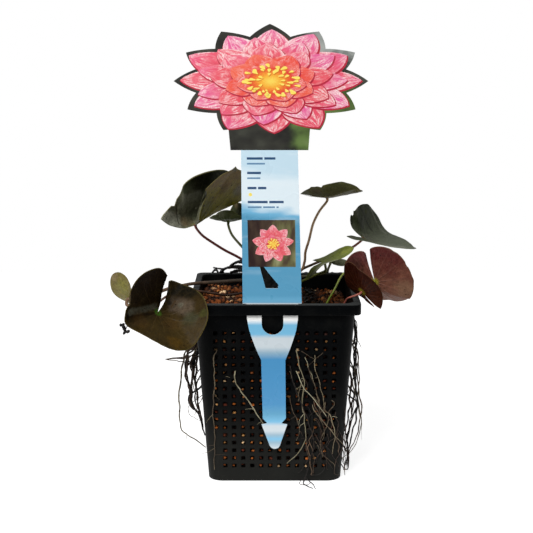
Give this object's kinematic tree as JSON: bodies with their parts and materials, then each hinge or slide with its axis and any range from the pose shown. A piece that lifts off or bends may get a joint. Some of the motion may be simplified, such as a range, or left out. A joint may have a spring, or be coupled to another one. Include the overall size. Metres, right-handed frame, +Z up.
{
  "type": "potted water lily plant with picture label",
  "caption": "Young water lily plant in a square mesh pot of clay granules, with leaves on long stalks, roots out of the mesh and a picture label in the rim.",
  "frame": {"origin": "centre of the underside of the pot, on the surface it stands on", "axes": "+Z up, -Y towards the front of the pot, where the label stands, +X to the right seen from the front"},
  "size_m": [0.2399, 0.1688, 0.3445],
  "materials": {
    "pot_plastic": "satin",
    "clay_granules": "matte",
    "crown_skin": "matte",
    "label_print": "gloss",
    "leaf_dark_green": "satin",
    "leaf_moss_green": "satin",
    "leaf_brown": "satin",
    "leaf_pale_olive": "satin",
    "leaf_olive": "satin",
    "leaf_grey_green": "satin",
    "leaf_young": "satin",
    "leaf_maroon": "satin",
    "stalk_maroon": "satin",
    "stalk_brown": "satin",
    "stalk_green": "satin",
    "stalk_pink": "satin",
    "stalk_dead": "matte",
    "root_cream": "matte",
    "root_tan": "matte",
    "root_brown": "matte"
  },
  "bodies": {
    "root": {"pot": "pot_plastic", "granules": "clay_granules", "crown": "crown_skin", "label": "label_print", "back_left_leaf": "leaf_dark_green", "shaded_leaf": "leaf_moss_green", "front_left_leaf": "leaf_brown", "far_left_leaf": "leaf_pale_olive", "tall_right_leaf": "leaf_olive", "far_right_leaf": "leaf_grey_green", "young_leaf": "leaf_young", "budding_leaf": "leaf_young", "front_right_leaf": "leaf_maroon", "front_fold_leaf": "leaf_maroon", "back_left_stalk": "stalk_maroon", "far_right_stalk": "stalk_maroon", "front_left_stalk": "stalk_brown", "far_left_stalk": "stalk_brown", "tall_right_stalk": "stalk_brown", "shaded_stalk": "stalk_green", "young_stalk": "stalk_green", "budding_stalk": "stalk_green", "front_right_stalk": "stalk_green", "front_fold_stalk": "stalk_pink", "dead_stalk_inner": "stalk_dead", "dead_stalk_outer": "stalk_dead", "front_root_edge": "root_tan", "front_root_pale": "root_cream", "front_root_long": "root_cream", "front_root_right": "root_tan", "front_root_outer": "root_tan", "front_root_across": "root_cream", "front_root_short": "root_tan", "front_root_low": "root_brown", "floor_root": "root_brown", "right_root_front": "root_brown", "right_root_loop": "root_tan", "right_root_foot": "root_brown", "right_root_back": "root_tan", "left_root_bow": "root_cream", "left_root_front": "root_brown", "left_root_back": "root_tan", "left_root_side": "root_tan"}
  },
  "joints": []
}
